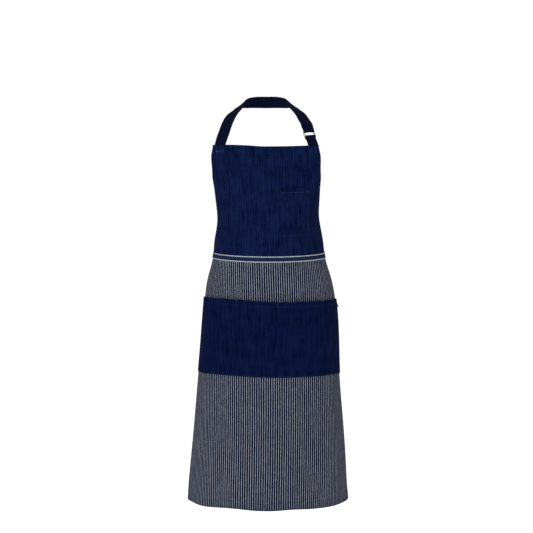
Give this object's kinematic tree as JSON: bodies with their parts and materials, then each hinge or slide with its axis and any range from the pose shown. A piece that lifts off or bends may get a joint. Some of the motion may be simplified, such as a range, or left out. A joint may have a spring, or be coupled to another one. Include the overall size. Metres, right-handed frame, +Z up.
{
  "type": "butcher apron",
  "caption": "Bib apron on a neck strap adjusted through D-rings, with a chest pocket, a wide kangaroo pocket, a striped skirt and waist ties in a bow.",
  "frame": {"origin": "centre of the neck opening, level with the strap at the nape, where a neck carries the apron", "axes": "+X towards the wearer's left, the viewer's right; -Y is the apron's front; +Z up"},
  "size_m": [0.3982, 0.2723, 0.9897],
  "materials": {
    "bib_cloth": "matt cotton twill",
    "skirt_cloth": "navy cotton with woven grey-white stripes",
    "tape_band": "woven herringbone tape",
    "tape_edge": "white woven selvedge",
    "webbing": "navy cotton webbing",
    "thread": "sewing thread",
    "tab": "blank woven tab",
    "ring_metal": "polished nickel"
  },
  "bodies": {
    "apron": {"bib_panel": "bib_cloth", "bib_top_hem": "bib_cloth", "bib_edge_hem_left": "bib_cloth", "bib_edge_hem_right": "bib_cloth", "chest_pocket": "bib_cloth", "chest_pocket_hem": "bib_cloth", "kangaroo_pocket": "bib_cloth", "kangaroo_pocket_hem": "bib_cloth", "skirt_panel": "skirt_cloth", "skirt_bottom_hem": "skirt_cloth", "skirt_side_hem_left": "skirt_cloth", "skirt_side_hem_right": "skirt_cloth", "chest_pocket_bartack_left": "thread", "chest_pocket_bartack_right": "thread", "kangaroo_bartack_left": "thread", "kangaroo_bartack_right": "thread", "strap_stitch_box_left": "thread", "strap_stitch_box_right": "thread", "tie_bartack_left": "thread", "tie_bartack_right": "thread", "neck_strap": "webbing", "ring_strap": "webbing", "waist_tie_left": "webbing", "waist_tie_right": "webbing", "bow_knot": "webbing", "bow_loop_left": "webbing", "bow_loop_right": "webbing", "bow_tail_left": "webbing", "bow_tail_right": "webbing", "waist_tape": "tape_band", "waist_tape_upper_edge": "tape_edge", "waist_tape_lower_edge": "tape_edge", "side_tab": "tab"},
    "front_ring": {"front_d_ring": "ring_metal"},
    "back_ring": {"back_d_ring": "ring_metal"}
  },
  "joints": [
    {"name": "front_ring_hinge", "type": "hinge", "parent": "apron", "child": "front_ring", "pos_m": [0.1045, -0.0659, -0.0767], "axis": [0.8513, 0.5186, 0.0794], "range_deg": [-3.5, 3.5]},
    {"name": "back_ring_hinge", "type": "hinge", "parent": "apron", "child": "back_ring", "pos_m": [0.10227, -0.06187, -0.07911], "axis": [-0.8513, -0.5186, -0.0794], "range_deg": [0, 70]}
  ]
}
